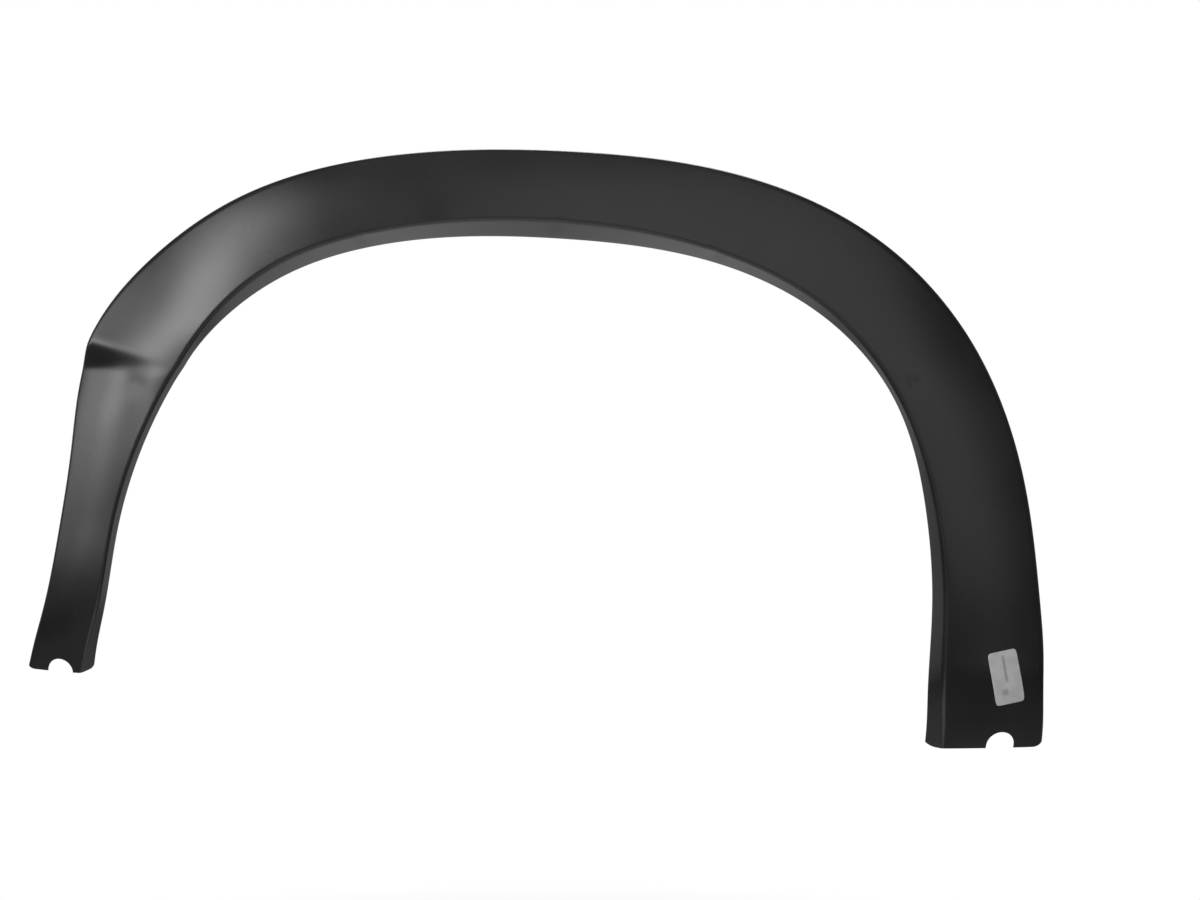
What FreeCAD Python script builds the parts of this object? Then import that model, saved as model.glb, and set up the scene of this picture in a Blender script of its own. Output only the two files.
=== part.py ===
import FreeCAD, Part
import math
import os
import Sketcher

# Wheel-arch trim: one moulded strip round a wheel opening, with a plain stock label on it.
# Frame: +X along the car, -Y outboard, +Z up. The clips seat on the body panel, the plane y = 0,
# and the origin lies in that plane, midway between the two side clips.

document = FreeCAD.newDocument("wheel_arch_trim")
vector = FreeCAD.Vector

# Sizes in millimetres and degrees. Depths are measured outboard from the body panel.
SIZES = {
    "wall": 2.8,
    "outer_round": 5.5,
    "flange_draft": 1.5,
    "lip_depth": 26,
    "arch_rear": 0,
    "leg_rear": -14,
    "arch_crown": 420,
    "leg_crown": 170,
    "wheel_drop": 253.5,
    "side_clip_reach": 388.5,
    "step_pivot": 270,
    "right_bend_angle": 36,
    "right_tab_run": 70,
    "left_bend_angle": 30,
    "left_tab_run": 72,
    "right_tab_reach": 14,
    "right_tab_lean": 4.5,
    "left_tab_reach": 6,
    "left_tab_lean": 23,
    "right_end_level": 365,
    "right_end_tilt": 0,
    "right_notch_centre": 481,
    "right_notch_width": 29,
    "right_notch_depth": 17.5,
    "left_end_level": 288,
    "left_end_tilt": -4,
    "left_notch_centre": 470.5,
    "left_notch_width": 26.5,
    "left_notch_depth": 13.5,
    "end_corner": 12,
    "end_margin": 3,
    "trim_clearance": 60,
    "clip_offset": 13,
    "seat_span": 22,
    "seat_width": 18,
    "seat_wall": 2,
    "seat_plate": 2.5,
    "clip_hole": 8.4,
    "label_length": 54,
    "label_width": 30,
    "label_corner": 3,
    "label_thickness": 0.3,
    "label_lean": 11,
    "label_centre": 482,
    "label_level": 290.5,
}

# Each end tab has three sections, tucked back by these shares of its slope.
TUCK_SHARES = (0, 1 / 4, 3 / 4)
# The step's sections lie at these shares of the way from its top to its foot.
STEP_SHARES = (-0.3, 0.1, 0.5, 0.9, 1.3)

# Section stations round the arch, from the right leg over the crown to the left leg. The place of a
# station is its angle about the wheel centre, or about the pivot of the step, or its level below the
# origin on the two legs. The other sizes are the distance of the crease line from that centre, the
# width of the face, the reach of the lip, the depth of the crease and the setback of the outer edge
# behind it.
COLUMNS = ("place", "crease", "face", "reach", "depth", "setback")
STATIONS = {
    "right_bend": (303.5, 417.5, 104, 11, 30, 15),
    "right_low": (268.5, 418, 103.5, 10, 33, 17),
    "right_leg": (213.5, 419, 98.5, 9, 36, 18),
    "right_rise": (17, 429.5, 96, 7, 39, 19),
    "right_clip": (33, 444, 94.5, 1.5, 41, 20),
    "right_shoulder": (47, 446.5, 90, 5, 42, 20),
    "right_crown": (62.5, 433, 84, 9, 43, 20),
    "crown": (84.5, 418.5, 72.5, 15.5, 44, 20),
    "left_crown": (110.5, 433, 76.5, 12, 43, 20),
    "left_shoulder": (122.5, 446, 80.5, 10.5, 41.5, 20.5),
    "left_turn": (134.5, 444, 90, 4.5, 39.5, 21),
    "step_top": (164, 75, 98, 1, 35.5, 21),
    "step_foot": (175, 82, 96, 1, 34.5, 38),
    "left_leg": (63.5, 386.5, 71.5, 1, 30, 31),
    "left_low": (143.5, 411, 59, 1, 26, 26),
    "left_bend": (221.5, 426, 59.5, 2, 22, 22),
}
for station, values in STATIONS.items():
    SIZES.update({f"{station}_{column}": value for column, value in zip(COLUMNS, values)})

sheet = document.addObject("Spreadsheet::Sheet", "Sizes")
for row, (alias, value) in enumerate(SIZES.items(), start=1):
    sheet.set(f"A{row}", alias)
    sheet.set(f"B{row}", str(value))
    sheet.setAlias(f"B{row}", alias)
document.recompute()


def size(alias):
    """Expression that reads one cell of the sheet."""
    return f"Sizes.{alias}"


def number(expression):
    """Value of an expression as a plain number."""
    value = sheet.evalExpression(expression)
    return float(getattr(value, "Value", value))


def origin_plane(body, role):
    """One of a body's own origin planes."""
    return next(feature for feature in body.Origin.OriginFeatures if feature.Role == role)


def new_sketch(body, name, role, base, axis, angle):
    """Sketch on an origin plane, moved to base and turned about axis, all given as expressions."""
    sketch = body.newObject("Sketcher::SketchObject", name)
    sketch.AttachmentSupport = [(origin_plane(body, role), "")]
    sketch.MapMode = "FlatFace"
    turn = FreeCAD.Rotation(vector(*axis), number(angle))
    sketch.AttachmentOffset = FreeCAD.Placement(vector(*(number(part) for part in base)), turn)
    for letter, part in zip("xyz", base):
        sketch.setExpression(f"AttachmentOffset.Base.{letter}", part)
    sketch.setExpression("AttachmentOffset.Rotation.Angle", angle)
    return sketch


def dimension(sketch, kind, places, expression):
    """Dimension of a sketch, bound to the sheet."""
    index = sketch.addConstraint(Sketcher.Constraint(kind, *places, number(expression)))
    sketch.setExpression(f"Constraints[{index}]", expression)


def locate(sketch, geometry, position, x, y):
    """Place a point of a sketch by its two coordinates."""
    dimension(sketch, "DistanceX", (-1, 1, geometry, position), x)
    dimension(sketch, "DistanceY", (-1, 1, geometry, position), y)


def arc_between(centre, start, end):
    """The shorter arc from start to end, and which of its two ends the start is."""
    first = math.atan2(start.y - centre.y, start.x - centre.x)
    last = math.atan2(end.y - centre.y, end.x - centre.x)
    circle = Part.Circle(centre, vector(0, 0, 1), start.distanceToPoint(centre))
    if (last - first) % (2 * math.pi) < math.pi:
        return Part.ArcOfCircle(circle, first, last), 1
    return Part.ArcOfCircle(circle, last, first), 2


def face_centre(outer, crease, crown):
    """Centre of the face's arc, behind the chord from its outer edge to its crease."""
    chord = crease - outer
    back = vector(-chord.y, chord.x, 0).normalize()
    if back.y < 0:
        back = -back
    rise = math.sqrt(crown ** 2 - chord.Length ** 2 / 4)
    return (outer + crease) * 0.5 + back * rise


def inward_normal(way, towards):
    """Normal of a wall, on the side of the wall that the given way points to."""
    normal = vector(-way.y, way.x, 0)
    return normal if normal.dot(towards) > 0 else -normal


def inner_point(corner, way, inward, inset, centre, crown):
    """Point behind a corner that lies one inset from a straight wall and from the face's arc."""
    start = corner + inward * inset - centre
    half = start.dot(way)
    root = math.sqrt(half ** 2 - start.dot(start) + (crown - inset) ** 2)
    travel = min(root - half, -root - half, key=abs)
    return corner + inward * inset + way * travel


def section(sketch, side, sizes):
    """Closed section of the strip: flange, rounded outer edge, crowned face and lip, all one wall.

    Side is 1 where the sketch's x axis points outward and -1 where it points inward.
    """
    outer_x = f"{side} * ({sizes['crease']} + {sizes['face']})"
    outer_y = f"{sizes['setback']} - ({sizes['depth']})"
    crease_x = f"{side} * ({sizes['crease']})"
    crease_y = f"-({sizes['depth']})"
    flange_x = f"{outer_x} + {side} * {size('flange_draft')}"
    flange_y = f"-({sizes['rear']})"
    lip_x = f"{side} * ({sizes['crease']} - ({sizes['reach']}))"
    lip_y = f"{crease_y} + {size('lip_depth')}"
    outer = vector(number(outer_x), number(outer_y), 0)
    crease = vector(number(crease_x), number(crease_y), 0)
    flange = vector(number(flange_x), number(flange_y), 0)
    lip = vector(number(lip_x), number(lip_y), 0)
    wall = number(size("wall"))
    crown = number(sizes["crown"])
    radius = number(size("outer_round"))
    middle = face_centre(outer, crease, crown)
    flange_way = (flange - outer).normalize()
    flange_in = inward_normal(flange_way, crease - outer)
    lip_way = (lip - crease).normalize()
    lip_in = inward_normal(lip_way, outer - crease)
    edge = inner_point(outer, flange_way, flange_in, radius, middle, crown)
    corners = [
        flange,
        edge - flange_in * radius,
        middle + (edge - middle).normalize() * crown,
        crease,
        lip,
        lip + lip_in * wall,
        inner_point(crease, lip_way, lip_in, wall, middle, crown),
        inner_point(outer, flange_way, flange_in, wall, middle, crown),
        flange + flange_in * wall,
    ]
    centres = {1: edge, 2: middle, 6: middle}
    first_end = {}
    for index, corner in enumerate(corners):
        following = corners[(index + 1) % len(corners)]
        if index in centres:
            curve, first_end[index] = arc_between(centres[index], corner, following)
        else:
            curve, first_end[index] = Part.LineSegment(corner, following), 1
        sketch.addGeometry(curve, False)
    outer_point = sketch.addGeometry(Part.Point(outer), True)
    for index in range(len(corners)):
        following = (index + 1) % len(corners)
        kind = "Tangent" if index < 2 else "Coincident"
        joint = (index, 3 - first_end[index], following, first_end[following])
        sketch.addConstraint(Sketcher.Constraint(kind, *joint))
    sketch.addConstraint(Sketcher.Constraint("Coincident", 2, 3, 6, 3))
    for front, cap, rear in ((0, 8, 7), (3, 4, 5)):
        sketch.addConstraint(Sketcher.Constraint("Parallel", front, rear))
        sketch.addConstraint(Sketcher.Constraint("Perpendicular", front, cap))
        dimension(sketch, "Distance", (cap,), size("wall"))
    sketch.addConstraint(Sketcher.Constraint("PointOnObject", outer_point, 1, 0))
    sketch.addConstraint(Sketcher.Constraint("PointOnObject", outer_point, 1, 2))
    dimension(sketch, "Radius", (1,), size("outer_round"))
    dimension(sketch, "Radius", (2,), sizes["crown"])
    dimension(sketch, "Radius", (6,), f"{sizes['crown']} - {size('wall')}")
    locate(sketch, outer_point, 1, outer_x, outer_y)
    locate(sketch, 3, 1, crease_x, crease_y)
    locate(sketch, 0, 1, flange_x, flange_y)
    locate(sketch, 3, 2, lip_x, lip_y)


def station_sizes(station, **changes):
    """Expressions for the sizes of a station's section."""
    sizes = {column: size(f"{station}_{column}") for column in COLUMNS}
    sizes.update(rear=size("arch_rear"), crown=size("arch_crown"))
    sizes.update(changes)
    return sizes


def wheel_place(angle):
    """Place of a section plane through the wheel centre at an angle from the +X axis."""
    return ("0", "0", f"-{size('wheel_drop')}"), (0, 1, 0), f"-({angle})"


def level_place(level):
    """Place of a level section plane below the origin."""
    return ("0", "0", f"-({level})"), (1, 0, 0), "0"


def pivot_place(angle):
    """Place of a section plane of the step, turned about a pivot inside the arch."""
    return (f"-{size('step_pivot')}", "0", "0"), (0, 1, 0), f"-({angle})"


def between(start, end, share):
    """Expression part of the way from one size to another."""
    return f"({start} + ({end} - {start}) * {share})"


def leg_section(body, name, station, side, below="0", tuck="0", **changes):
    """Level section of a leg, moved below its station and tucked back towards the car."""
    sizes = station_sizes(station, **changes)
    sizes["depth"] = f"({sizes['depth']} - {tuck})"
    sizes["rear"] = f"({sizes['rear']} - {tuck})"
    sketch = new_sketch(body, name, "XY_Plane", *level_place(f"{sizes['place']} + {below}"))
    section(sketch, side, sizes)
    return sketch


def tab_sections(body, hand, side, **changes):
    """Sections of an end tab, which curves back from the foot of its leg and then runs straight."""
    station = f"{hand}_bend"
    run = size(f"{hand}_tab_run")
    slope = f"tan({size(f'{hand}_bend_angle')})"
    sketches = []
    for index, share in enumerate(TUCK_SHARES):
        along = index / (len(TUCK_SHARES) - 1)
        changes["reach"] = between(size(f"{station}_reach"), size(f"{hand}_tab_reach"), along)
        changes["crease"] = f"({size(f'{station}_crease')} + {size(f'{hand}_tab_lean')} * {along})"
        below = f"{run} * {along}"
        tuck = f"{run} * {slope} * {share}"
        sketches.append(leg_section(body, f"{hand}_tab_{index}", station, side, below, tuck, **changes))
    return sketches


def step_sections(body):
    """Sections across the step, where the outer edge drops back and the crease runs on."""
    sketches = []
    for index, share in enumerate(STEP_SHARES):
        drop = min(max(share, 0), 1)
        drop = drop * drop * (3 - 2 * drop)
        sizes = {}
        for column in COLUMNS:
            sizes[column] = between(size(f"step_top_{column}"), size(f"step_foot_{column}"), share)
        sizes["setback"] = between(size("step_top_setback"), size("step_foot_setback"), drop)
        sizes["rear"] = between(size("arch_rear"), size("leg_rear"), drop)
        sizes["crown"] = f"1 / {between('1 / ' + size('arch_crown'), '1 / ' + size('leg_crown'), drop)}"
        sketch = new_sketch(body, f"step_{index}", "XY_Plane", *pivot_place(sizes["place"]))
        section(sketch, 1, sizes)
        sketches.append(sketch)
    return sketches


def strip_sections(body):
    """All sections of the strip, from the right end to the left end."""
    sketches = list(reversed(tab_sections(body, "right", 1)))
    for station in ("right_low", "right_leg"):
        sketches.append(leg_section(body, station, station, 1))
    for station in ("right_rise", "right_clip", "right_shoulder", "right_crown", "crown",
                    "left_crown", "left_shoulder", "left_turn"):
        sketch = new_sketch(body, station, "XY_Plane", *wheel_place(size(f"{station}_place")))
        section(sketch, 1, station_sizes(station))
        sketches.append(sketch)
    sketches += step_sections(body)
    leg = {"rear": size("leg_rear"), "crown": size("leg_crown")}
    for station in ("left_leg", "left_low"):
        sketches.append(leg_section(body, station, station, -1, **leg))
    return sketches + tab_sections(body, "left", -1, **leg)


def clip_seat(body, name, place, side, centre, sizes):
    """Bridge behind the face that carries a clip: two walls up to the face and a seat plate between.

    The walls end halfway through the face's wall, on an arc that follows the face.
    """
    sketch = new_sketch(body, name, "XY_Plane", *place)
    crown = number(sizes["crown"])
    wall = number(size("wall"))
    outer_x = f"{side} * ({sizes['crease']} + {sizes['face']})"
    outer_y = f"{sizes['setback']} - ({sizes['depth']})"
    crease_x = f"{side} * ({sizes['crease']})"
    crease_y = f"-({sizes['depth']})"
    outer = vector(number(outer_x), number(outer_y), 0)
    crease = vector(number(crease_x), number(crease_y), 0)
    middle = face_centre(outer, crease, crown)
    left = number(f"{side} * ({centre}) - {size('seat_span')} / 2")
    right = left + number(size("seat_span"))
    thick = number(size("seat_wall"))
    plate = number(size("seat_plate"))

    def front(x):
        """Height of the middle of the face's wall at one x."""
        return middle.y - math.sqrt((crown - wall / 2) ** 2 - (x - middle.x) ** 2)

    corners = [
        vector(left, 0, 0),
        vector(right, 0, 0),
        vector(right, front(right), 0),
        vector(right - thick, front(right - thick), 0),
        vector(right - thick, -plate, 0),
        vector(left + thick, -plate, 0),
        vector(left + thick, front(left + thick), 0),
        vector(left, front(left), 0),
    ]
    for index, corner in enumerate(corners):
        following = corners[(index + 1) % len(corners)]
        sketch.addGeometry(Part.LineSegment(corner, following), False)
    normal = vector(0, 0, 1)
    face = sketch.addGeometry(Part.Circle(middle, normal, crown), True)
    core = sketch.addGeometry(Part.Circle(middle, normal, crown - wall / 2), True)
    outer_point = sketch.addGeometry(Part.Point(outer), True)
    crease_point = sketch.addGeometry(Part.Point(crease), True)
    for index in range(len(corners)):
        following = (index + 1) % len(corners)
        sketch.addConstraint(Sketcher.Constraint("Coincident", index, 2, following, 1))
    for index in (0, 4):
        sketch.addConstraint(Sketcher.Constraint("Horizontal", index))
    for index in (1, 3, 5, 7):
        sketch.addConstraint(Sketcher.Constraint("Vertical", index))
    for index in (2, 3, 6, 7):
        sketch.addConstraint(Sketcher.Constraint("PointOnObject", index, 1, core))
    sketch.addConstraint(Sketcher.Constraint("Coincident", face, 3, core, 3))
    sketch.addConstraint(Sketcher.Constraint("PointOnObject", outer_point, 1, face))
    sketch.addConstraint(Sketcher.Constraint("PointOnObject", crease_point, 1, face))
    sketch.addConstraint(Sketcher.Constraint("PointOnObject", 0, 1, -1))
    dimension(sketch, "Radius", (face,), sizes["crown"])
    dimension(sketch, "Radius", (core,), f"{sizes['crown']} - {size('wall')} / 2")
    locate(sketch, outer_point, 1, outer_x, outer_y)
    locate(sketch, crease_point, 1, crease_x, crease_y)
    dimension(sketch, "DistanceX", (-1, 1, 0, 1), f"{side} * ({centre}) - {size('seat_span')} / 2")
    dimension(sketch, "DistanceX", (0, 1, 0, 2), size("seat_span"))
    dimension(sketch, "DistanceX", (7, 1, 6, 1), size("seat_wall"))
    dimension(sketch, "DistanceX", (3, 1, 2, 1), size("seat_wall"))
    dimension(sketch, "DistanceY", (-1, 1, 4, 1), f"-{size('seat_plate')}")
    pad = body.newObject("PartDesign::Pad", f"{name}_pad")
    pad.Profile = sketch
    pad.SideType = "Symmetric"
    pad.setExpression("Length", size("seat_width"))
    return sketch


def closed_outline(sketch, corners):
    """Closed outline through corners given by two expressions and the radius of the arc to the next."""
    points = [vector(number(x), number(y), 0) for x, y, radius in corners]
    first_end = {}
    for index, (x, y, radius) in enumerate(corners):
        start, end = points[index], points[(index + 1) % len(points)]
        if radius:
            chord = end - start
            side = vector(-chord.y, chord.x, 0).normalize()
            way = 1 if radius[0] == "+" else -1
            rise = math.sqrt(max(number(radius[1:]) ** 2 - chord.Length ** 2 / 4, 0))
            curve, first_end[index] = arc_between((start + end) * 0.5 + side * rise * way, start, end)
        else:
            curve, first_end[index] = Part.LineSegment(start, end), 1
        sketch.addGeometry(curve, False)
    for index, (x, y, radius) in enumerate(corners):
        following = (index + 1) % len(corners)
        joint = (index, 3 - first_end[index], following, first_end[following])
        sketch.addConstraint(Sketcher.Constraint("Coincident", *joint))
        locate(sketch, index, first_end[index], x, y)
        if radius:
            dimension(sketch, "Radius", (index,), radius[1:])


def front_sketch(body, name, base=("0", "0", "0"), angle="0"):
    """Sketch on the body panel plane, with X to the right and Z up."""
    return new_sketch(body, name, "XZ_Plane", base, (0, 0, 1), angle)


def polar_point(radius, angle):
    """Coordinates in the panel plane of a point at a radius and an angle about the wheel centre."""
    return f"{radius} * cos({angle})", f"{radius} * sin({angle}) - {size('wheel_drop')}"


def add_clip_seats(body):
    """The five clip seats and the round hole through each seat plate."""
    reach = size("side_clip_reach")
    drop = size("wheel_drop")
    right_angle = f"atan({drop} / {reach})"
    right_centre = f"sqrt({drop} ^ 2 + {reach} ^ 2)"
    leg = {"rear": size("leg_rear"), "crown": size("leg_crown")}
    left_sizes = station_sizes("step_foot", **leg)
    clip_seat(body, "right_seat", wheel_place(right_angle), 1, right_centre, station_sizes("right_clip"))
    clip_seat(body, "left_seat", pivot_place("180"), 1, f"{reach} - {size('step_pivot')}", left_sizes)
    holes = [(reach, "0"), (f"-{reach}", "0")]
    for station in ("right_crown", "crown", "left_crown"):
        angle = size(f"{station}_place")
        centre = f"({size(f'{station}_crease')} + {size('clip_offset')})"
        clip_seat(body, f"{station}_seat", wheel_place(angle), 1, centre, station_sizes(station))
        holes.append(polar_point(centre, angle))
    sketch = front_sketch(body, "clip_holes")
    radius = number(size("clip_hole")) / 2
    for index, (x, z) in enumerate(holes):
        circle = Part.Circle(vector(number(x), number(z), 0), vector(0, 0, 1), radius)
        sketch.addGeometry(circle, False)
        locate(sketch, index, 3, x, z)
        dimension(sketch, "Diameter", (index,), size("clip_hole"))
    pocket = body.newObject("PartDesign::Pocket", "clip_hole_cut")
    pocket.Profile = sketch
    pocket.SideType = "Symmetric"
    pocket.setExpression("Length", f"4 * {size('seat_plate')}")


def trim_end(body, hand, side):
    """Cut an end tab to its length, with rounded corners and a half-round notch for a screw.

    The outline is drawn from the middle of the notch's mouth, along the tilt of the end.
    """
    station = f"{hand}_bend"
    corner = size("end_corner")
    margin = size("end_margin")
    notch = size(f"{hand}_notch_centre")
    crease = f"{size(f'{station}_crease')} + {size(f'{hand}_tab_lean')} - {notch}"
    inner = f"{crease} - {size(f'{hand}_tab_reach')} - {margin}"
    outer = f"{crease} + {size(f'{station}_face')} + {margin}"
    half = f"{size(f'{hand}_notch_width')} / 2"
    top = size(f"{hand}_notch_depth")
    shoulder = f"{top} - {half}"
    clear = size("trim_clearance")
    turn = "+" if side > 0 else "-"
    bend = "-" if side > 0 else "+"
    profile = [
        (f"{inner} - {clear}", corner, None),
        (inner, corner, turn + corner),
        (f"{inner} + {corner}", "0", None),
        (f"-{half}", "0", None),
        (f"-{half}", shoulder, bend + half),
        ("0", top, bend + half),
        (half, shoulder, None),
        (half, "0", None),
        (f"{outer} - {corner}", "0", turn + corner),
        (outer, corner, None),
        (f"{outer} + {clear}", corner, None),
        (f"{outer} + {clear}", f"-{clear}", None),
        (f"{inner} - {clear}", f"-{clear}", None),
    ]
    base = (f"{side} * {notch}", f"-{size(f'{hand}_end_level')}", "0")
    sketch = front_sketch(body, f"{hand}_end", base, size(f"{hand}_end_tilt"))
    closed_outline(sketch, [(f"{side} * ({x})", z, radius) for x, z, radius in profile])
    pocket = body.newObject("PartDesign::Pocket", f"{hand}_end_cut")
    pocket.Profile = sketch
    pocket.SideType = "Symmetric"
    pocket.setExpression("Length", f"2 * {clear}")


def make_molding():
    """The trim: a loft through its sections, with clip seats behind it and trimmed ends."""
    body = document.addObject("PartDesign::Body", "arch_molding")
    body.Label = "arch_molding"
    sections = strip_sections(body)
    strip = body.newObject("PartDesign::AdditiveLoft", "strip")
    strip.Profile = sections[0]
    strip.Sections = sections[1:]
    strip.Ruled = False
    add_clip_seats(body)
    trim_end(body, "right", 1)
    trim_end(body, "left", -1)
    return body


def make_label(molding):
    """A plain label that lies on the face of the right leg: a patch of the face moved outboard."""
    body = document.addObject("PartDesign::Body", "label_outline")
    base = (size("label_centre"), f"-{size('label_level')}", "0")
    sketch = front_sketch(body, "label_rectangle", base, size("label_lean"))
    half_width = f"{size('label_width')} / 2"
    half_length = f"{size('label_length')} / 2"
    corner = size("label_corner")
    profile = []
    for x_sign, z_sign in ((1, 1), (-1, 1), (-1, -1), (1, -1)):
        side = (f"{x_sign} * ({half_width})", f"{z_sign} * ({half_length} - {corner})")
        end = (f"{x_sign} * ({half_width} - {corner})", f"{z_sign} * ({half_length})")
        first, second = (side, end) if x_sign * z_sign > 0 else (end, side)
        profile += [(*first, "+" + corner), (*second, None)]
    closed_outline(sketch, profile)
    pad = body.newObject("PartDesign::Pad", "label_block")
    pad.Profile = sketch
    pad.setExpression("Length", f"2 * {size('right_bend_depth')}")
    patch = document.addObject("Part::Common", "label_patch")
    patch.Base = body
    patch.Tool = molding
    patch.setExpression("Placement.Base.y", f"-{size('label_thickness')}")
    label = document.addObject("Part::Cut", "stock_label")
    label.Base = patch
    label.Tool = molding
    label.Label = "stock_label"
    return label


def write_nodes(nodes):
    """Write each node's shape to its own file, once every object has come out sound."""
    document.recompute()
    for item in document.Objects:
        if "Invalid" in item.State or "Error" in item.State:
            raise RuntimeError(f"{item.Label} failed: {item.State}")
    for node in nodes:
        if node.Shape.isNull() or not node.Shape.isValid() or len(node.Shape.Solids) != 1:
            raise RuntimeError(f"{node.Label} is not one sound solid")
    os.makedirs("parts", exist_ok=True)
    for node in nodes:
        node.Shape.exportStep(f"parts/{node.Label}.step")
        print(node.Label, round(node.Shape.Volume), node.Shape.BoundBox)


molding = make_molding()
write_nodes([molding, make_label(molding)])
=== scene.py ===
import math

import bmesh
import bpy
import numpy as np
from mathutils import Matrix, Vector


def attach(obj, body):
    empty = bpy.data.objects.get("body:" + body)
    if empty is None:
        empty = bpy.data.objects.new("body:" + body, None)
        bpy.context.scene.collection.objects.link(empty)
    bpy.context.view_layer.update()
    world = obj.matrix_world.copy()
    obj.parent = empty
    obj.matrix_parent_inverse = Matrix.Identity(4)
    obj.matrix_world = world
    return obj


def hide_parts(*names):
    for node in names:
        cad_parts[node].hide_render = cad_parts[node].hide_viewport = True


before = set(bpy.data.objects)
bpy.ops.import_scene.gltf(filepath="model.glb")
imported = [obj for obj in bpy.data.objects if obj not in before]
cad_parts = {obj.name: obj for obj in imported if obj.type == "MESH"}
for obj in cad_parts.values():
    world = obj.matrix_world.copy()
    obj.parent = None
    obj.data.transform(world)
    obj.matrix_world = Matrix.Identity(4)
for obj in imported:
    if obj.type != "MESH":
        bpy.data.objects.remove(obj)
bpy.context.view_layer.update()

MM = 0.001

# Sizes of the trim in millimetres and degrees. Its edges are a little rounder than those of the solids.
WALL = 2.8
OUTER_ROUND = 8
CREASE_ROUND = 4
EDGE_ROUND = 0.6
FLANGE_DRAFT = 1.5
LIP_DEPTH = 26
ARCH_REAR = 0
LEG_REAR = -14
ARCH_CROWN = 420
LEG_CROWN = 170
WHEEL_DROP = 253.5
SIDE_CLIP_REACH = 388.5
STEP_PIVOT = 270
CLIP_OFFSET = 13

# Shares of its slope by which the three sections of an end tab are tucked back.
TUCK_SHARES = (0, 1 / 4, 3 / 4)
# Places of the step's sections from its top to its foot, and small moves of their crease that keep it fair.
STEP_SHARES = (-0.3, 0.1, 0.5, 0.9, 1.3)
STEP_EASE = (0.9, -0.4, -0.9, -0.85, -0.4)

# Place, crease, face, reach, depth and setback of each section of the strip.
STATIONS = {
    "right_bend": (303.5, 417.5, 104, 11, 30, 15),
    "right_low": (268.5, 418, 103.5, 10, 33, 17),
    "right_leg": (213.5, 419, 98.5, 9, 36, 18),
    "right_rise": (17, 429.5, 96, 7, 39, 19),
    "right_clip": (33, 444, 94.5, 1.5, 41, 20),
    "right_shoulder": (47, 446.5, 90, 5, 42, 20),
    "right_crown": (62.5, 433, 84, 9, 43, 20),
    "crown": (84.5, 418.5, 72.5, 15.5, 44, 20),
    "left_crown": (110.5, 433, 76.5, 12, 43, 20),
    "left_shoulder": (122.5, 446, 80.5, 10.5, 41.5, 20.5),
    "left_turn": (134.5, 445, 89, 4.5, 39.5, 21),
    "step_top": (164, 75, 98, 1, 35.5, 21),
    "step_foot": (175, 82, 96, 1, 34.5, 38),
    "left_leg": (63.5, 386.5, 71.5, 1, 30, 31),
    "left_low": (143.5, 411, 59, 1, 26, 26),
    "left_bend": (221.5, 426, 59.5, 2, 22, 22),
}

# End tabs: bend and run of the slope, reach of the lip, sideways lean, level and tilt of the cut, the notch,
# and what the section loses in depth, setback and flange by the end.
RIGHT_END = {"bend": 36, "run": 70, "reach": 14, "lean": 4.5, "level": 365, "tilt": 0,
             "notch": 481, "width": 29, "depth": 17.5, "ease": (0, 0, 2)}
LEFT_END = {"bend": 30, "run": 72, "reach": 6, "lean": 23, "level": 288, "tilt": -4,
            "notch": 470.5, "width": 26.5, "depth": 13.5, "ease": (0.8, 8.5, 9.9)}
END_CORNER = 12
INNER_MARGIN = 3
OUTER_MARGIN = 1.2
TRIM_CLEARANCE = 60

SEAT_SPAN = 22
SEAT_WIDTH = 18
SEAT_WALL = 2
SEAT_PLATE = 2.5
CLIP_HOLE = 8.4
# Sink marks over the clip seats: x, z, radius and depth.
SINK_MARKS = ((-388.5, 2, 9, 0.5), (-158.5, 148.5, 6.5, 0.6), (33.5, 162, 6.5, 0.7),
              (190.5, 131.5, 6.5, 0.6), (387.5, 3.5, 6.5, 0.7))

LABEL_LENGTH = 54
LABEL_WIDTH = 30
LABEL_THICKNESS = 0.3
LABEL_LEAN = 11
LABEL_PLACE = (482, -290.5)
LABEL_SQUARENESS = 12
LABEL_SINK = 0.05
LABEL_RIM = 0.7
LABEL_HUB = 0.02
LABEL_FIT_REACH = 0.75 * LABEL_LENGTH
LABEL_FIT_POWER = 3

# Numbers of points along the parts of a section, along the strip, and round the cuts and the label.
FLANGE_POINTS = 10
ROUND_POINTS = 10
FACE_POINTS = 50
CREASE_POINTS = 8
LIP_POINTS = 8
EDGE_POINTS = 3
TIP_POINTS = 1
BACK_POINTS = 6
INNER_POINTS = 20
STRIP_ROWS = 560
CORNER_POINTS = 12
NOTCH_POINTS = 32
HOLE_POINTS = 32
LABEL_POINTS = 192
LABEL_RINGS = 24
LABEL_BACK_RINGS = 12

# Edges that turn by more than these angles stay sharp.
TRIM_SHARP = 32
LABEL_SHARP = 40

# Detail and roughness of the noise in the grain and in the blotches.
SPECKLE = {"Grain": (3, 0.6), "Blotch": (2, 0.45)}

# Finishes: scales of grain and blotches, span of the blotch noise that counts, bump distance and strength.
PLASTIC_SCALES = (900, 13)
PLASTIC_BLOTCH = (0.3, 0.7)
PLASTIC_TONES = ((0.0075, 0.0075, 0.008), (0.0125, 0.0125, 0.0125))
PLASTIC_ROUGHNESS = (0.24, 0.28)
PLASTIC_BUMP = (0.0002, 0.15)
PAPER_SCALES = (700, 90)
PAPER_BLOTCH = (0.35, 0.65)
PAPER_TONES = ((0.56, 0.56, 0.57), (0.63, 0.63, 0.64))
PAPER_ROUGHNESS = 0.62
PAPER_BUMP = (0.0001, 0.15)

# Marks on the label: tone, then middle, half width and soft edge across and along it, in metres.
LABEL_MARKS = (
    ((0.37, 0.37, 0.38), (0, 0.0005, 0.0016), (0.009, 0.011, 0.004)),
    ((0.4, 0.4, 0.41), (-0.0035, 0.001, 0.004), (-0.0145, 0.001, 0.004)),
)

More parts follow.
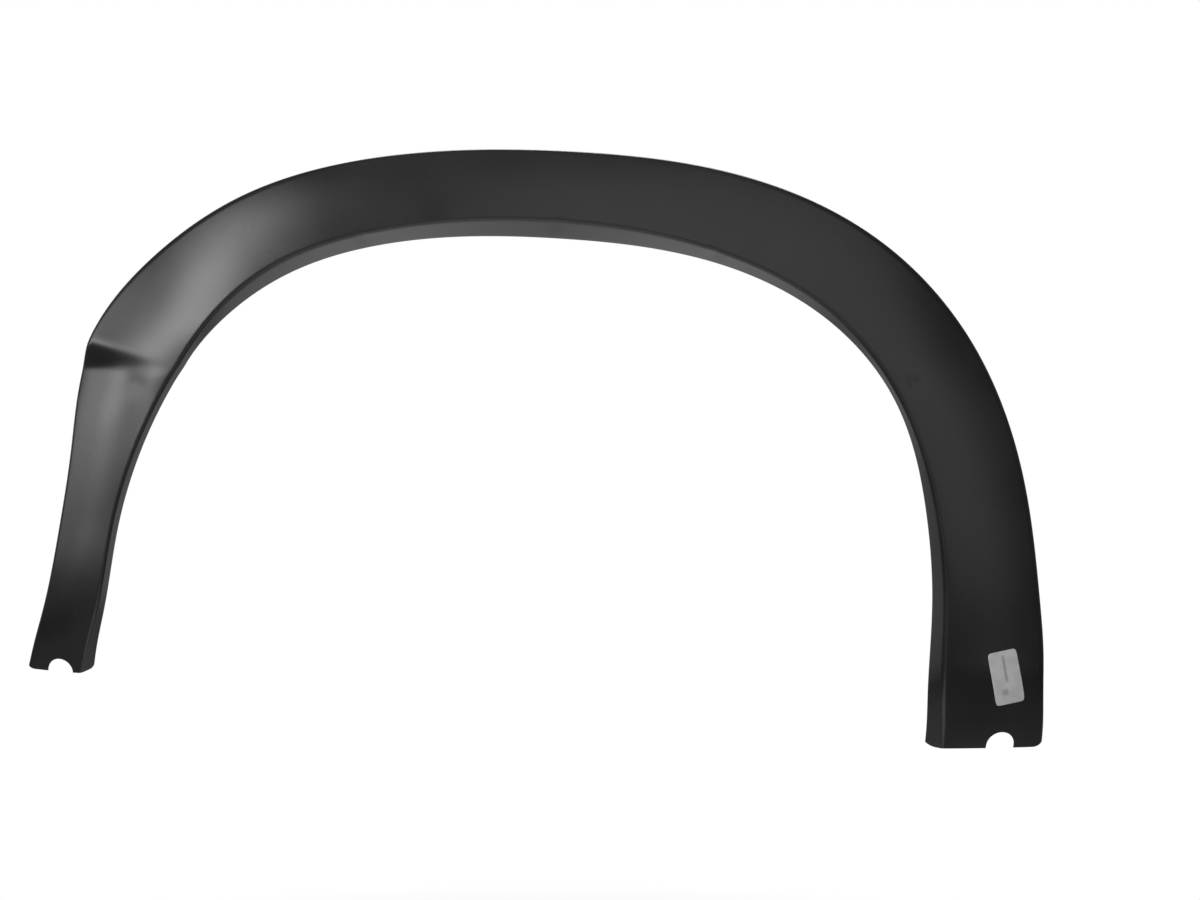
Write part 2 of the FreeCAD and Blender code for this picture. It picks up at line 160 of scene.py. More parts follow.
# The studio, in metres, with lens and sensor in millimetres. The floor's white grows from the first share to
# the second over the fade.
FLOOR_LEVEL = -0.75
FLOOR_REACH = 6
FLOOR_TONE = 0.45
FLOOR_FADE = (0.75, 1.3)
FLOOR_WHITE = (0.72, 1)
SURROUND_LEVEL = 0.17
CAMERA_WHITE = 1
CAMERA_PLACE = (0.0765, -2.22, -0.0635)
CAMERA_LENS = 66
CAMERA_SENSOR = 36

# Light panels: place, the point each one faces, width, height, level and spread in degrees.
PANELS = {
    "tall_pane": ((-1.3, -1.8, 0.82), (-0.32, 0, 0.3), 0.4, 1.5, 3.0, 110),
    "low_pane": ((-1.8, -1.4, 0.24), (-0.38, 0, 0), 1.3, 0.3, 1.5, 110),
    "left_wall": ((-1.6, -1.7, 0.85), (-0.35, 0, 0.2), 1.2, 1.6, 0.3, 110),
    "side_window": ((-1.2, -0.32, 0.22), (-0.42, 0, 0.08), 0.66, 0.5, 1.15, 110),
    "front_wall": ((0.75, -2.4, 1.3), (0.45, 0, 0.3), 2.2, 1.9, 0.42, 130),
    "right_wall": ((1.5, -2.2, -0.05), (0.4, 0, -0.1), 1.0, 1.0, 0.34, 130),
    "ceiling": ((0, -0.9, 2.2), (0, 0, 0), 2.4, 1.6, 0.15, 130),
    "floor_bounce": ((0, 0.42, -0.5), (0, 0, 0.15), 1.3, 0.9, 0.22, 80),
    "front_card": ((0, -1.0, -0.74), (0, -1.0, 0), 0.7, 2.0, 0.75, 180),
    "front_low": ((0.05, -2.45, -0.15), (0.05, 0, -0.15), 0.9, 0.9, 0.35, 130),
    "back_wall": ((0.2, 1.7, 1.6), (0, 0, 0.05), 1.4, 1.0, 1.2, 110),
    "back_low": ((0.05, 1.9, -0.2), (0, 0, -0.1), 1.6, 0.8, 0.07, 110),
    "back_right": ((1.1, 1.5, 0), (-0.35, 0, -0.05), 1.0, 0.9, 0.1, 110),
    "back_left": ((-1.1, 1.5, -0.05), (0.42, 0, -0.1), 1.0, 0.9, 0.12, 110),
}


def section_row(origin, way, values, rear, crown, tuck=0.0):
    """One section as a row of numbers: plane origin, direction, then the sizes of the section."""
    crease, face, reach, depth, setback = values
    return (*origin, *way, crease, face, reach, depth - tuck, setback, rear - tuck, crown)


def tab_rows(station, end, side, rear, crown):
    """Rows of an end tab, which is moved down and tucked back from the foot of its leg."""
    place, crease, face, reach, depth, setback = STATIONS[station]
    rows = []
    for index, share in enumerate(TUCK_SHARES):
        along = index / (len(TUCK_SHARES) - 1)
        tuck = end["run"] * math.tan(math.radians(end["bend"])) * share
        less_depth, less_setback, less_flange = (size * along ** 2 for size in end["ease"])
        values = (crease + end["lean"] * along, face, reach + (end["reach"] - reach) * along,
                  depth - less_depth, setback - less_setback)
        origin = (0, -place - end["run"] * along)
        rows.append(section_row(origin, (side, 0), values, rear + less_flange, crown, tuck))
    return rows


def turned(angle):
    """Direction in the panel plane at an angle in degrees."""
    return math.cos(math.radians(angle)), math.sin(math.radians(angle))


def strip_rows():
    """All section rows from the right end over the crown to the left end.

    Across the step the setback and the flange go from the arch's to the leg's by the smooth step, three times
    the share squared less twice its cube. The curvature of the face, one over its crown, goes the same way.
    """
    rows = tab_rows("right_bend", RIGHT_END, 1, ARCH_REAR, ARCH_CROWN)[::-1]
    for name in ("right_low", "right_leg"):
        place, *values = STATIONS[name]
        rows.append(section_row((0, -place), (1, 0), values, ARCH_REAR, ARCH_CROWN))
    for name in ("right_rise", "right_clip", "right_shoulder", "right_crown", "crown",
                 "left_crown", "left_shoulder", "left_turn"):
        place, *values = STATIONS[name]
        rows.append(section_row((0, -WHEEL_DROP), turned(place), values, ARCH_REAR, ARCH_CROWN))
    top = np.array(STATIONS["step_top"], float)
    foot = np.array(STATIONS["step_foot"], float)
    for share, ease in zip(STEP_SHARES, STEP_EASE):
        clamped = min(max(share, 0), 1)
        drop = clamped * clamped * (3 - 2 * clamped)
        place, *values = top + (foot - top) * share
        values[-1] = top[-1] + (foot[-1] - top[-1]) * drop
        values[0] += ease
        values[1] -= ease
        rear = ARCH_REAR + (LEG_REAR - ARCH_REAR) * drop
        crown = 1 / (1 / ARCH_CROWN + (1 / LEG_CROWN - 1 / ARCH_CROWN) * drop)
        rows.append(section_row((-STEP_PIVOT, 0), turned(place), values, rear, crown))
    for name in ("left_leg", "left_low"):
        place, *values = STATIONS[name]
        rows.append(section_row((0, -place), (-1, 0), values, LEG_REAR, LEG_CROWN))
    return np.array(rows + tab_rows("left_bend", LEFT_END, -1, LEG_REAR, LEG_CROWN), float)


def unit(vectors):
    """Vectors scaled to length one."""
    return vectors / np.linalg.norm(vectors, axis=-1, keepdims=True)


def inward(way, towards):
    """Normal of each way, on the side that the second vector points to."""
    normal = np.stack([-way[..., 1], way[..., 0]], -1)
    return normal * np.sign((normal * towards).sum(-1, keepdims=True))


def behind_corner(corner, way, normal, inset, centre, crown):
    """Point one inset from a straight wall and from the face's arc, behind a corner."""
    start = corner + normal * inset - centre
    half = (start * way).sum(-1)
    root = np.sqrt(half ** 2 - (start * start).sum(-1) + (crown - inset) ** 2)
    travel = np.where(np.abs(root - half) < np.abs(root + half), root - half, -root - half)
    return corner + normal * inset + way * travel[:, None]


def straight(start, end, count):
    """Even points from start towards end, without the last."""
    share = np.linspace(0, 1, count, endpoint=False)[None, :, None]
    return start[:, None] + (end - start)[:, None] * share


def round_arc(centre, start, end, count):
    """Even points on the arc about centre from start towards end, without the last."""
    first = start - centre
    last = end - centre
    angle = np.arctan2(first[:, 1], first[:, 0])
    turn = np.arctan2(first[:, 0] * last[:, 1] - first[:, 1] * last[:, 0], (first * last).sum(-1))
    share = np.linspace(0, 1, count, endpoint=False)[None]
    angles = angle[:, None] + turn[:, None] * share
    radius = np.linalg.norm(first, axis=-1)[:, None]
    return centre[:, None] + np.stack([radius * np.cos(angles), radius * np.sin(angles)], -1)


def soft_corner(before, corner, after, count):
    """Quadratic curve that rounds a corner between two points, without the last."""
    share = np.linspace(0, 1, count, endpoint=False)[None, :, None]
    return (before[:, None] * (1 - share) ** 2 + corner[:, None] * 2 * share * (1 - share)
            + after[:, None] * share ** 2)


def section_profiles(rows):
    """Closed profile of every section, as points (r, y) in its plane.

    It runs along the flange, round the outer edge, across the crowned face, over the crease and the lip,
    and back along the inside of the wall. Also gives the columns of the face, and those of the face, the
    crease and the lip together.
    """
    crease_r, width, reach, depth, setback, rear, crown = rows[:, 4:].T
    crease = np.stack([crease_r, -depth], -1)
    outer = np.stack([crease_r + width, setback - depth], -1)
    flange = np.stack([outer[:, 0] + FLANGE_DRAFT, -rear], -1)
    lip = np.stack([crease_r - reach, LIP_DEPTH - depth], -1)
    chord = crease - outer
    back = unit(np.stack([-chord[:, 1], chord[:, 0]], -1))
    back = back * np.sign(back[:, 1:])
    rise = np.sqrt(crown ** 2 - (chord ** 2).sum(-1) / 4)
    middle = (outer + crease) / 2 + back * rise[:, None]
    flange_way = unit(flange - outer)
    flange_in = inward(flange_way, chord)
    lip_way = unit(lip - crease)
    lip_in = inward(lip_way, -chord)
    edge = behind_corner(outer, flange_way, flange_in, OUTER_ROUND, middle, crown)
    flange_top = edge - flange_in * OUTER_ROUND
    face_start = middle + unit(edge - middle) * crown[:, None]
    face_end = middle + unit(crease + unit(outer - crease) * CREASE_ROUND - middle) * crown[:, None]
    lip_start = crease + lip_way * CREASE_ROUND
    lip_back = lip + lip_in * WALL
    inner_crease = behind_corner(crease, lip_way, lip_in, WALL, middle, crown)
    inner_outer = behind_corner(outer, flange_way, flange_in, WALL, middle, crown)
    flange_back = flange + flange_in * WALL
    lip_down, lip_across = lip_way * EDGE_ROUND, lip_in * EDGE_ROUND
    flange_down, flange_across = flange_way * EDGE_ROUND, flange_in * EDGE_ROUND
    parts = [
        straight(flange - flange_down, flange_top, FLANGE_POINTS),
        round_arc(edge, flange_top, face_start, ROUND_POINTS),
        round_arc(middle, face_start, face_end, FACE_POINTS),
        soft_corner(face_end, crease, lip_start, CREASE_POINTS),
        straight(lip_start, lip - lip_down, LIP_POINTS),
        soft_corner(lip - lip_down, lip, lip + lip_across, EDGE_POINTS),
        straight(lip + lip_across, lip_back - lip_across, TIP_POINTS),
        soft_corner(lip_back - lip_across, lip_back, lip_back - lip_down, EDGE_POINTS),
        straight(lip_back - lip_down, inner_crease, BACK_POINTS),
        round_arc(middle, inner_crease, inner_outer, INNER_POINTS),
        straight(inner_outer, flange_back - flange_down, BACK_POINTS),
        soft_corner(flange_back - flange_down, flange_back, flange_back - flange_across, EDGE_POINTS),
        straight(flange_back - flange_across, flange + flange_across, TIP_POINTS),
        soft_corner(flange + flange_across, flange, flange - flange_down, EDGE_POINTS),
    ]
    begin = FLANGE_POINTS + ROUND_POINTS
    face = slice(begin, begin + FACE_POINTS + 1)
    front = slice(begin, begin + FACE_POINTS + CREASE_POINTS + LIP_POINTS)
    return np.concatenate(parts, 1), face, front


def spline_through(points, rows):
    """Natural cubic spline through rows of points, each column over its own chord length.

    The rows lie at even steps of the mean chord length, at the same share of a span in every column.
    """
    steps = np.linalg.norm(np.diff(points, axis=0), axis=-1)
    mean = steps.mean(1)
    knots = np.concatenate([[0], np.cumsum(mean)])
    count, columns = points.shape[:2]
    system = np.zeros((columns, count, count))
    system[:, 0, 0] = system[:, -1, -1] = 1
    inner = np.arange(1, count - 1)
    system[:, inner, inner - 1] = steps[:-1].T
    system[:, inner, inner] = 2 * (steps[:-1] + steps[1:]).T
    system[:, inner, inner + 1] = steps[1:].T
    load = np.zeros_like(points)
    load[1:-1] = 6 * np.diff(np.diff(points, axis=0) / steps[..., None], axis=0)
    bend = np.linalg.solve(system, load.transpose(1, 0, 2)).transpose(1, 0, 2)
    at = np.linspace(0, knots[-1], rows)
    span = np.clip(np.searchsorted(knots, at, side="right") - 1, 0, count - 2)
    share = ((at - knots[span]) / mean[span])[:, None, None]
    width = steps[span][..., None]
    ahead = (1 - share) * width
    past = share * width
    return (bend[span] * ahead ** 3 / (6 * width) + bend[span + 1] * past ** 3 / (6 * width)
            + (points[span] / width - bend[span] * width / 6) * ahead
            + (points[span + 1] / width - bend[span + 1] * width / 6) * past)


def strip_grid():
    """Grid of the strip in millimetres: profiles placed in their planes and joined by a cubic spline.

    Over each clip seat the face sinks along its normal by the mark's depth times e to the power of minus the
    squared distance over the squared radius. Also gives the face's part of the grid.
    """
    rows = strip_rows()
    profiles, face, front = section_profiles(rows)
    radius, y = profiles[..., 0], profiles[..., 1]
    x = rows[:, 0:1] + radius * rows[:, 2:3]
    z = rows[:, 1:2] + radius * rows[:, 3:4]
    grid = spline_through(np.stack([x, y, z], -1), STRIP_ROWS)
    normal = unit(np.cross(np.gradient(grid, axis=0), np.gradient(grid, axis=1)))
    for mark_x, mark_z, spread, sink in SINK_MARKS:
        distance = (grid[..., 0] - mark_x) ** 2 + (grid[..., 2] - mark_z) ** 2
        hollow = sink * np.exp(-distance / spread ** 2)
        grid[:, front] -= (normal * hollow[..., None])[:, front]
    return grid, grid[:, face].copy()


def new_piece(name, points, faces):
    """Mesh object from points in millimetres and faces, with its faces turned outwards."""
    mesh = bpy.data.meshes.new(name)
    mesh.from_pydata((np.asarray(points) * MM).tolist(), [], [list(map(int, face)) for face in faces])
    work = bmesh.new()
    work.from_mesh(mesh)
    bmesh.ops.recalc_face_normals(work, faces=work.faces)
    work.to_mesh(mesh)
    work.free()
    piece = bpy.data.objects.new(name, mesh)
    bpy.context.scene.collection.objects.link(piece)
    return piece


def tube_faces(rows, columns):
    """Quads of a grid that closes on itself along its columns, with a cap on each end."""
    row, column = np.meshgrid(np.arange(rows - 1), np.arange(columns), indexing="ij")
    ahead = (column + 1) % columns
    quads = np.stack([row * columns + column, row * columns + ahead,
                      (row + 1) * columns + ahead, (row + 1) * columns + column], -1).reshape(-1, 4)
    first = np.arange(columns)
    return [*quads, first, first + (rows - 1) * columns]


def prism(outline, vectors, start, end, origin):
    """Points and faces of an outline of (a, b) pairs, carried from start to end along a third vector."""
    across, up, along = np.asarray(vectors, float)
    flat = np.asarray(outline, float) @ np.stack([across, up])
    ends = np.array([start, end], float)[:, None, None] * along
    points = flat[None] + ends + np.asarray(origin, float)
    return points.reshape(-1, 3), tube_faces(2, len(outline))


def arc_points(centre, radius, first, last, count):
    """Points on an arc in the plane of an outline, with angles in degrees."""
    angle = np.radians(np.linspace(first, last, count))
    return np.stack([centre[0] + radius * np.cos(angle), centre[1] + radius * np.sin(angle)], -1)


def end_cutter(station, end, side):
    """Block that cuts an end tab level, with rounded corners and a half-round notch."""
    crease = STATIONS[station][1] + end["lean"] - end["notch"]
    inner = crease - end["reach"] - INNER_MARGIN
    outer = crease + STATIONS[station][2] + OUTER_MARGIN
    half = end["width"] / 2
    shoulder = end["depth"] - half
    outline = np.concatenate([
        [(inner - TRIM_CLEARANCE, END_CORNER)],
        arc_points((inner + END_CORNER, END_CORNER), END_CORNER, 180, 270, CORNER_POINTS),
        [(-half, 0)],
        arc_points((0, shoulder), half, 180, 0, NOTCH_POINTS),
        [(half, 0)],
        arc_points((outer - END_CORNER, END_CORNER), END_CORNER, 270, 360, CORNER_POINTS),
        [(outer + TRIM_CLEARANCE, END_CORNER), (outer + TRIM_CLEARANCE, -TRIM_CLEARANCE),
         (inner - TRIM_CLEARANCE, -TRIM_CLEARANCE)],
    ])
    cosine, sine = turned(end["tilt"])
    vectors = ((side * cosine, 0, side * sine), (-sine, 0, cosine), (0, 1, 0))
    origin = (side * end["notch"], 0, -end["level"])
    return prism(outline, vectors, -TRIM_CLEARANCE, TRIM_CLEARANCE, origin)


def clip_places():
    """Distance of each clip hole from the origin of its section plane, with the row of that section."""
    rise = math.degrees(math.atan2(WHEEL_DROP, SIDE_CLIP_REACH))
    right = section_row((0, -WHEEL_DROP), turned(rise), STATIONS["right_clip"][1:], ARCH_REAR, ARCH_CROWN)
    left = section_row((-STEP_PIVOT, 0), turned(180), STATIONS["step_foot"][1:], LEG_REAR, LEG_CROWN)
    places = [(math.hypot(WHEEL_DROP, SIDE_CLIP_REACH), right), (SIDE_CLIP_REACH - STEP_PIVOT, left)]
    for name in ("right_crown", "crown", "left_crown"):
        place, *values = STATIONS[name]
        row = section_row((0, -WHEEL_DROP), turned(place), values, ARCH_REAR, ARCH_CROWN)
        places.append((values[0] + CLIP_OFFSET, row))
    return places


def clip_seat(radius, row):
    """Bridge of a clip seat: two walls that end inside the face's wall and a plate between them."""
    origin_x, origin_z, way_x, way_z, crease_r, width, _, depth, setback, _, crown = row
    chord = np.array([-width, -setback])
    back = unit(np.array([-chord[1], chord[0]]))
    back = back * np.sign(back[1])
    middle = (np.array([crease_r + width, setback - depth]) + (crease_r, -depth)) / 2
    middle = middle + back * math.sqrt(crown ** 2 - (chord ** 2).sum() / 4)
    low, high = radius - SEAT_SPAN / 2, radius + SEAT_SPAN / 2
    edges = np.array([high, high - SEAT_WALL, low + SEAT_WALL, low])
    fronts = middle[1] - np.sqrt((crown - WALL / 2) ** 2 - (edges - middle[0]) ** 2)
    outline = [(low, 0), (high, 0), (high, fronts[0]), (edges[1], fronts[1]), (edges[1], -SEAT_PLATE),
               (edges[2], -SEAT_PLATE), (edges[2], fronts[2]), (low, fronts[3])]
    vectors = ((way_x, 0, way_z), (0, 1, 0), (-way_z, 0, way_x))
    return prism(outline, vectors, -SEAT_WIDTH / 2, SEAT_WIDTH / 2, (origin_x, 0, origin_z))


def hole_cutter(radius, row):
    """Round bar through the plate of a clip seat."""
    centre = (row[0] + radius * row[2], 0, row[1] + radius * row[3])
    outline = arc_points((0, 0), CLIP_HOLE / 2, 0, 360, HOLE_POINTS + 1)[:-1]
    vectors = ((1, 0, 0), (0, 0, 1), (0, 1, 0))
    return prism(outline, vectors, -2 * SEAT_PLATE, 2 * SEAT_PLATE, centre)


def joined(name, blocks):
    """One mesh object from several blocks of points and faces."""
    starts = np.cumsum([0] + [len(points) for points, faces in blocks])
    faces = [np.asarray(face) + start for (points, block), start in zip(blocks, starts) for face in block]
    return new_piece(name, np.concatenate([points for points, faces in blocks]), faces)


def combine(piece, other, operation):
    """Add or cut away another solid, and remove that solid from the scene."""
    step = piece.modifiers.new(operation.lower(), "BOOLEAN")
    step.operation = operation
    step.solver = "EXACT"
    step.object = other
    graph = bpy.context.evaluated_depsgraph_get()
    mesh = bpy.data.meshes.new_from_object(piece.evaluated_get(graph))
    piece.modifiers.clear()
    old = piece.data
    piece.data = mesh
    mesh.name = piece.name
    bpy.data.meshes.remove(old)
    bpy.data.objects.remove(other)


def make_trim():
    """The trim: the strip with its clip seats added and its ends and clip holes cut. Also gives its face."""
    grid, skin = strip_grid()
    trim = new_piece("trim", grid.reshape(-1, 3), tube_faces(*grid.shape[:2]))
    places = clip_places()
    combine(trim, joined("seats", [clip_seat(radius, row) for radius, row in places]), "UNION")
    cuts = [end_cutter("right_bend", RIGHT_END, 1), end_cutter("left_bend", LEFT_END, -1)]
    cuts += [hole_cutter(radius, row) for radius, row in places]
    combine(trim, joined("cuts", cuts), "DIFFERENCE")
    return trim, skin


def fit_terms(x, z):
    """Products of powers of two coordinates about the label's middle, up to the fit's power in all."""
    across = (x - LABEL_PLACE[0]) / LABEL_LENGTH
    up = (z - LABEL_PLACE[1]) / LABEL_LENGTH
    powers = range(LABEL_FIT_POWER + 1)
    return np.stack([across ** i * up ** j for i in powers for j in powers if i + j <= LABEL_FIT_POWER], -1)


def make_label(skin):
    """The label: rings from its middle to a rounded rectangle, laid on a smooth fit of the face below.

    The rectangle is the curve on which the two coordinates, each over its half size and raised to the power
    of the squareness, add up to one. The fit gives the depth of the face as a cubic polynomial of the place
    in the panel plane, by least squares.
    """
    angle = np.radians(np.linspace(0, 360, LABEL_POINTS, endpoint=False))
    half = np.array([LABEL_WIDTH / 2, LABEL_LENGTH / 2])
    ray = np.stack([np.cos(angle), np.sin(angle)], -1) * half
    rim = ray / ((np.abs(ray / half) ** LABEL_SQUARENESS).sum(-1) ** (1 / LABEL_SQUARENESS))[:, None]
    shares = np.concatenate([np.linspace(LABEL_HUB, 1, LABEL_RINGS),
                             np.linspace(1, LABEL_HUB, LABEL_BACK_RINGS)])
    lift = np.concatenate([np.full(LABEL_RINGS - 1, LABEL_THICKNESS), [LABEL_THICKNESS * LABEL_RIM],
                           np.full(LABEL_BACK_RINGS, -LABEL_SINK)])
    cosine, sine = turned(LABEL_LEAN)
    flat = rim[None] * shares[:, None, None]
    x = LABEL_PLACE[0] + flat[..., 0] * cosine - flat[..., 1] * sine
    z = LABEL_PLACE[1] + flat[..., 0] * sine + flat[..., 1] * cosine
    near = np.hypot(skin[..., 0] - LABEL_PLACE[0], skin[..., 2] - LABEL_PLACE[1]) < LABEL_FIT_REACH
    face = skin[near]
    weights = np.linalg.lstsq(fit_terms(face[:, 0], face[:, 2]), face[:, 1], rcond=None)[0]
    y = fit_terms(x, z) @ weights - lift[:, None]
    points = np.stack([x, y, z], -1)
    return new_piece("label", points.reshape(-1, 3), tube_faces(len(shares), len(angle)))


def dress(piece, material, sharp):
    """Give a piece its material, and smooth shading with edges sharp above an angle in degrees."""
    piece.data.materials.clear()
    piece.data.materials.append(material)
    piece.data.shade_smooth()
    piece.data.set_sharp_from_angle(angle=math.radians(sharp))


def nodes_of(material):
    """Node tree of a material, with its shader and its object coordinates."""
    material.use_nodes = True
    tree = material.node_tree
    shader = tree.nodes["Principled BSDF"]
    place = tree.nodes.new("ShaderNodeTexCoord").outputs["Object"]
    return tree, shader, place


def speckle_group():
    """Group that gives a fine grain height and a broad blotch mask on the surface."""
    group = bpy.data.node_groups.new("moulded_speckle", "ShaderNodeTree")
    group.interface.new_socket("Place", in_out="INPUT", socket_type="NodeSocketVector")
    for name in SPECKLE:
        group.interface.new_socket(f"{name} Scale", in_out="INPUT", socket_type="NodeSocketFloat")
        group.interface.new_socket(name, in_out="OUTPUT", socket_type="NodeSocketFloat")
    source = group.nodes.new("NodeGroupInput")
    result = group.nodes.new("NodeGroupOutput")
    for name, (detail, rough) in SPECKLE.items():
        noise = group.nodes.new("ShaderNodeTexNoise")
        noise.inputs["Detail"].default_value = detail
        noise.inputs["Roughness"].default_value = rough
        group.links.new(source.outputs["Place"], noise.inputs["Vector"])
        group.links.new(source.outputs[f"{name} Scale"], noise.inputs["Scale"])
        group.links.new(noise.outputs["Fac"], result.inputs[name])
    return group


def add_speckle(tree, group, place, scales):
    """Place the speckle group in a material with its own scales of grain and blotches."""
    node = tree.nodes.new("ShaderNodeGroup")
    node.node_tree = group
    for name, scale in zip(SPECKLE, scales):
        node.inputs[f"{name} Scale"].default_value = scale
    tree.links.new(place, node.inputs["Place"])
    return node


def ranged(tree, value, source, target):
    """Map a value from one range to another, smoothly."""
    node = tree.nodes.new("ShaderNodeMapRange")
    node.interpolation_type = "SMOOTHSTEP"
    for name, number in zip(("From Min", "From Max", "To Min", "To Max"), (*source, *target)):
        node.inputs[name].default_value = number
    tree.links.new(value, node.inputs["Value"])
    return node.outputs["Result"]


def mixed(tree, factor, first, second):
    """Mix a colour, or the output of another mix, with a second colour by a factor."""
    node = tree.nodes.new("ShaderNodeMix")
    node.data_type = "RGBA"
    inputs = {socket.identifier: socket for socket in node.inputs}
    outputs = {socket.identifier: socket for socket in node.outputs}
    if isinstance(first, tuple):
        inputs["A_Color"].default_value = (*first, 1)
    else:
        tree.links.new(first, inputs["A_Color"])
    inputs["B_Color"].default_value = (*second, 1)
    tree.links.new(factor, inputs["Factor_Float"])
    return outputs["Result_Color"]


def maths(tree, operation, *values):
    """Result of a sum on outputs of other nodes and plain numbers."""
    node = tree.nodes.new("ShaderNodeMath")
    node.operation = operation
    for socket, value in zip(node.inputs, values):
        if isinstance(value, (int, float)):
            socket.default_value = value
        else:
            tree.links.new(value, socket)
    return node.outputs[0]


def raised(tree, height, bump):
    """Normal of a bump from a height, with the bump's distance and strength."""
    node = tree.nodes.new("ShaderNodeBump")
    node.inputs["Distance"].default_value, node.inputs["Strength"].default_value = bump
    tree.links.new(height, node.inputs["Height"])
    return node.outputs["Normal"]


def black_plastic(group):
    """Satin black moulded plastic with a fine grain and broad, faint changes of sheen."""
    material = bpy.data.materials.new("black_plastic")
    tree, shader, place = nodes_of(material)
    speckle = add_speckle(tree, group, place, PLASTIC_SCALES)
    blotch = speckle.outputs["Blotch"]
    colour = mixed(tree, ranged(tree, blotch, PLASTIC_BLOTCH, (0, 1)), *PLASTIC_TONES)
    tree.links.new(colour, shader.inputs["Base Color"])
    tree.links.new(ranged(tree, blotch, PLASTIC_BLOTCH, PLASTIC_ROUGHNESS), shader.inputs["Roughness"])
    tree.links.new(raised(tree, speckle.outputs["Grain"], PLASTIC_BUMP), shader.inputs["Normal"])
    return material


def label_paper(group):
    """Matt grey-white label paper with a faint grey line down its middle and a smudge."""
    material = bpy.data.materials.new("label_paper")
    tree, shader, place = nodes_of(material)
    centred = tree.nodes.new("ShaderNodeMapping")
    centred.vector_type = "TEXTURE"
    centred.inputs["Location"].default_value = (LABEL_PLACE[0] * MM, 0, LABEL_PLACE[1] * MM)
    centred.inputs["Rotation"].default_value = (0, -math.radians(LABEL_LEAN), 0)
    tree.links.new(place, centred.inputs["Vector"])
    split = tree.nodes.new("ShaderNodeSeparateXYZ")
    tree.links.new(centred.outputs["Vector"], split.inputs["Vector"])
    speckle = add_speckle(tree, group, place, PAPER_SCALES)

    def bar(axis, middle, width, soft):
        """Mask of a soft-edged band across one axis of the label."""
        away = maths(tree, "ABSOLUTE", maths(tree, "SUBTRACT", split.outputs[axis], middle))
        return ranged(tree, away, (width, width + soft), (1, 0))

    paper = mixed(tree, ranged(tree, speckle.outputs["Blotch"], PAPER_BLOTCH, (0, 1)), *PAPER_TONES)
    for tone, across, along in LABEL_MARKS:
        mark = maths(tree, "MULTIPLY", bar("X", *across), bar("Z", *along))
        paper = mixed(tree, mark, paper, tone)
    tree.links.new(paper, shader.inputs["Base Color"])
    shader.inputs["Roughness"].default_value = PAPER_ROUGHNESS
    tree.links.new(raised(tree, speckle.outputs["Grain"], PAPER_BUMP), shader.inputs["Normal"])
    return material


def floor_paper():
    """Pale floor: grey paper that the camera sees mostly as white near the trim, and as all white far out."""
    material = bpy.data.materials.new("floor_paper")
    material.use_nodes = True
    tree = material.node_tree
    tree.nodes.clear()
    away = tree.nodes.new("ShaderNodeVectorMath")
    away.operation = "LENGTH"
    tree.links.new(tree.nodes.new("ShaderNodeTexCoord").outputs["Object"], away.inputs[0])
    white_share = ranged(tree, away.outputs["Value"], FLOOR_FADE, FLOOR_WHITE)
    seen = tree.nodes.new("ShaderNodeLightPath").outputs["Is Camera Ray"]
    paper = tree.nodes.new("ShaderNodeBsdfDiffuse")
    paper.inputs["Color"].default_value = (FLOOR_TONE, FLOOR_TONE, FLOOR_TONE, 1)
    white = tree.nodes.new("ShaderNodeEmission")
    blend = tree.nodes.new("ShaderNodeMixShader")
    tree.links.new(maths(tree, "MULTIPLY", white_share, seen), blend.inputs[0])
    tree.links.new(paper.outputs[0], blend.inputs[1])
    tree.links.new(white.outputs[0], blend.inputs[2])
    tree.links.new(blend.outputs[0], tree.nodes.new("ShaderNodeOutputMaterial").inputs["Surface"])
    return material


def make_floor():
    """Level floor below the trim, which is held up in its place on the car."""
    mesh = bpy.data.meshes.new("floor")
    corners = [(x * FLOOR_REACH, y * FLOOR_REACH, 0) for x, y in ((-1, -1), (1, -1), (1, 1), (-1, 1))]
    mesh.from_pydata(corners, [], [(0, 1, 2, 3)])
    floor = bpy.data.objects.new("floor", mesh)
    floor.location.z = FLOOR_LEVEL
    bpy.context.scene.collection.objects.link(floor)
    floor.data.materials.append(floor_paper())


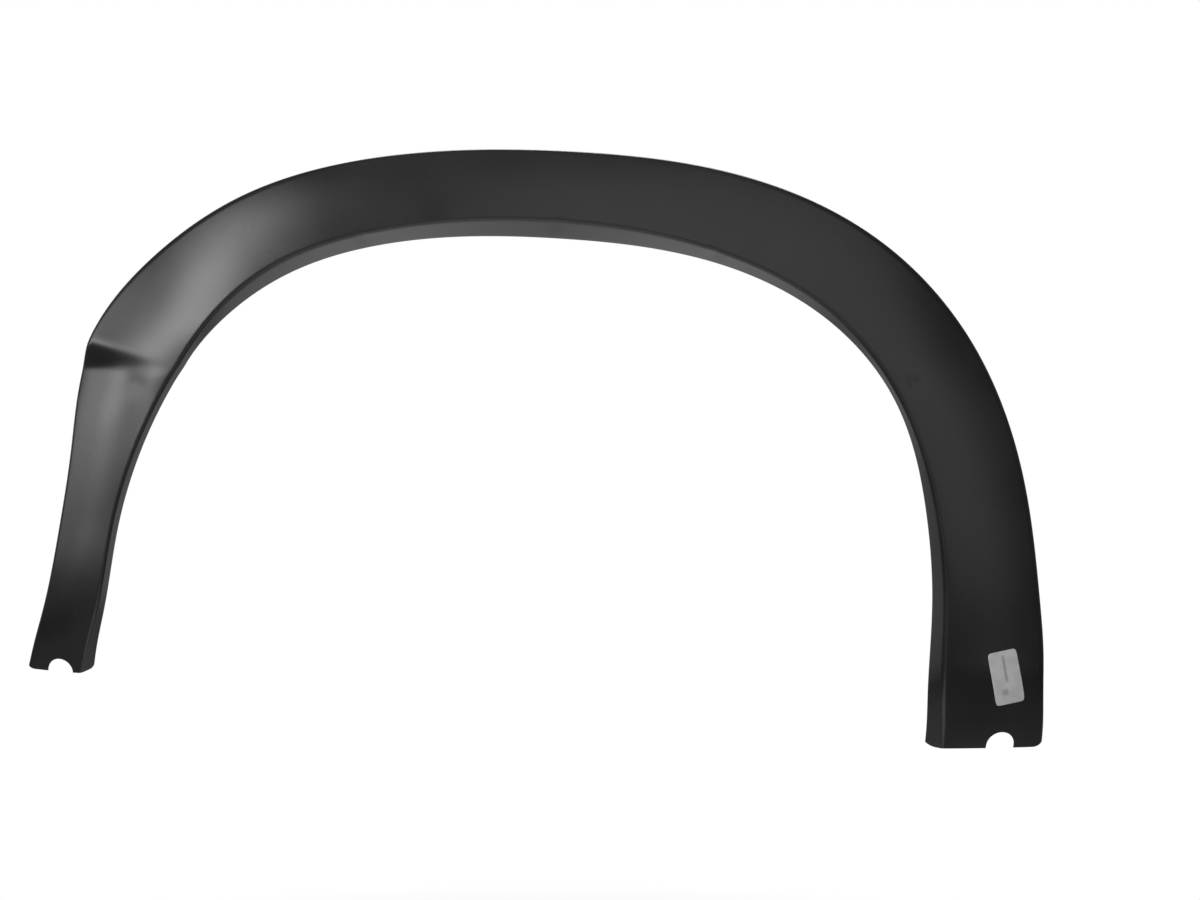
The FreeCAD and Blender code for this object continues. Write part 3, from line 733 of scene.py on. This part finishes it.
def make_world():
    """Dim even surround for the light, and plain white for the camera."""
    world = bpy.data.worlds.new("studio")
    bpy.context.scene.world = world
    world.use_nodes = True
    tree = world.node_tree
    tree.nodes.clear()
    path = tree.nodes.new("ShaderNodeLightPath")
    blend = tree.nodes.new("ShaderNodeMixShader")
    tree.links.new(path.outputs["Is Camera Ray"], blend.inputs[0])
    for index, strength in ((1, SURROUND_LEVEL), (2, CAMERA_WHITE)):
        surround = tree.nodes.new("ShaderNodeBackground")
        surround.inputs["Color"].default_value = (1, 1, 1, 1)
        surround.inputs["Strength"].default_value = strength
        tree.links.new(surround.outputs[0], blend.inputs[index])
    tree.links.new(blend.outputs[0], tree.nodes.new("ShaderNodeOutputWorld").inputs["Surface"])


def add_panel(name, place, target, width, height, level, spread):
    """Soft rectangular light with a grid that holds its spread to an angle in degrees.

    Its power is pi times its area times its level, so panels of one spread and level look equally bright.
    """
    light = bpy.data.lights.new(name, "AREA")
    light.shape = "RECTANGLE"
    light.size = width
    light.size_y = height
    light.energy = math.pi * width * height * level
    light.spread = math.radians(spread)
    panel = bpy.data.objects.new(name, light)
    panel.location = place
    way = Vector(target) - Vector(place)
    panel.rotation_euler = way.to_track_quat("-Z", "Y").to_euler()
    panel.visible_camera = False
    bpy.context.scene.collection.objects.link(panel)


def make_camera():
    """Camera square to the trim, at the photograph's distance and framing."""
    data = bpy.data.cameras.new("camera")
    data.sensor_width = CAMERA_SENSOR
    data.lens = CAMERA_LENS
    camera = bpy.data.objects.new("camera", data)
    camera.location = CAMERA_PLACE
    camera.rotation_euler = (math.pi / 2, 0, 0)
    bpy.context.scene.collection.objects.link(camera)
    bpy.context.scene.camera = camera


bpy.context.scene.view_settings.view_transform = "Standard"
make_camera()
make_world()
for panel_name, panel_values in PANELS.items():
    add_panel(panel_name, *panel_values)
make_floor()
speckle_nodes = speckle_group()
trim, trim_face = make_trim()
dress(trim, black_plastic(speckle_nodes), TRIM_SHARP)
label = make_label(trim_face)
dress(label, label_paper(speckle_nodes), LABEL_SHARP)
for piece, node, finish in ((trim, "arch_molding", "black_plastic"), (label, "stock_label", "label_paper")):
    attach(piece, "root")
    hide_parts(node)
